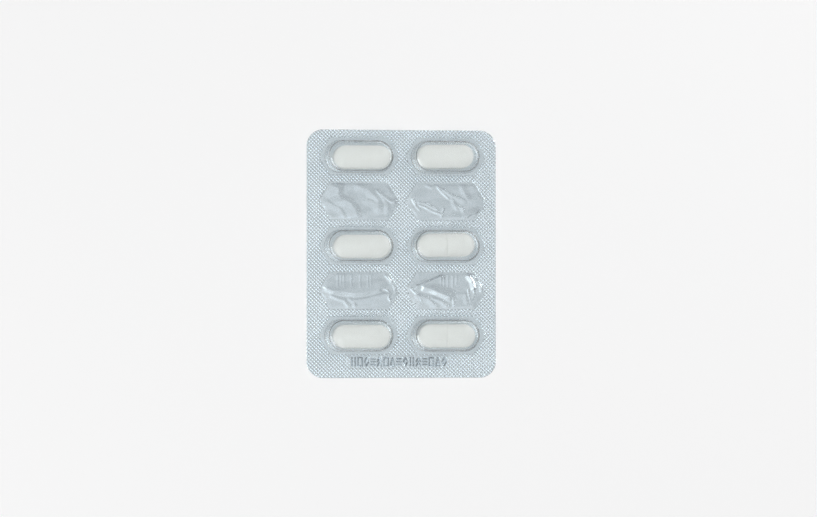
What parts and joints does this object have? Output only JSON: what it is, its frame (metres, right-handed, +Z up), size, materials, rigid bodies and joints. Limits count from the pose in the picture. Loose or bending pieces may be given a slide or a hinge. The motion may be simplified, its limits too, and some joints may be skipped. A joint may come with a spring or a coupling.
{
  "type": "blister pack of tablets",
  "caption": "Push-through blister pack: clear formed film with pockets of oblong white tablets and blank stations, sealed to a knurled aluminium lidding foil",
  "frame": {"origin": "centre of the foil's underside, on the surface that the pack lies on", "axes": "+Z up out of the pockets, +Y along the pack's length towards the end without the code strip, +X across the pack along the tablets"},
  "size_m": [0.0584, 0.076, 0.0065],
  "materials": {
    "clear_film": "clear glossy thermoformed film",
    "foil": "bright thin foil, knurled where sealed",
    "tablet": "smooth cream-white film coating"
  },
  "bodies": {
    "root": {"formed_film": "clear_film", "lidding_foil": "foil", "tablet_left_top": "tablet", "tablet_right_top": "tablet", "tablet_left_middle": "tablet", "tablet_right_middle": "tablet", "tablet_left_bottom": "tablet", "tablet_right_bottom": "tablet"}
  },
  "joints": []
}
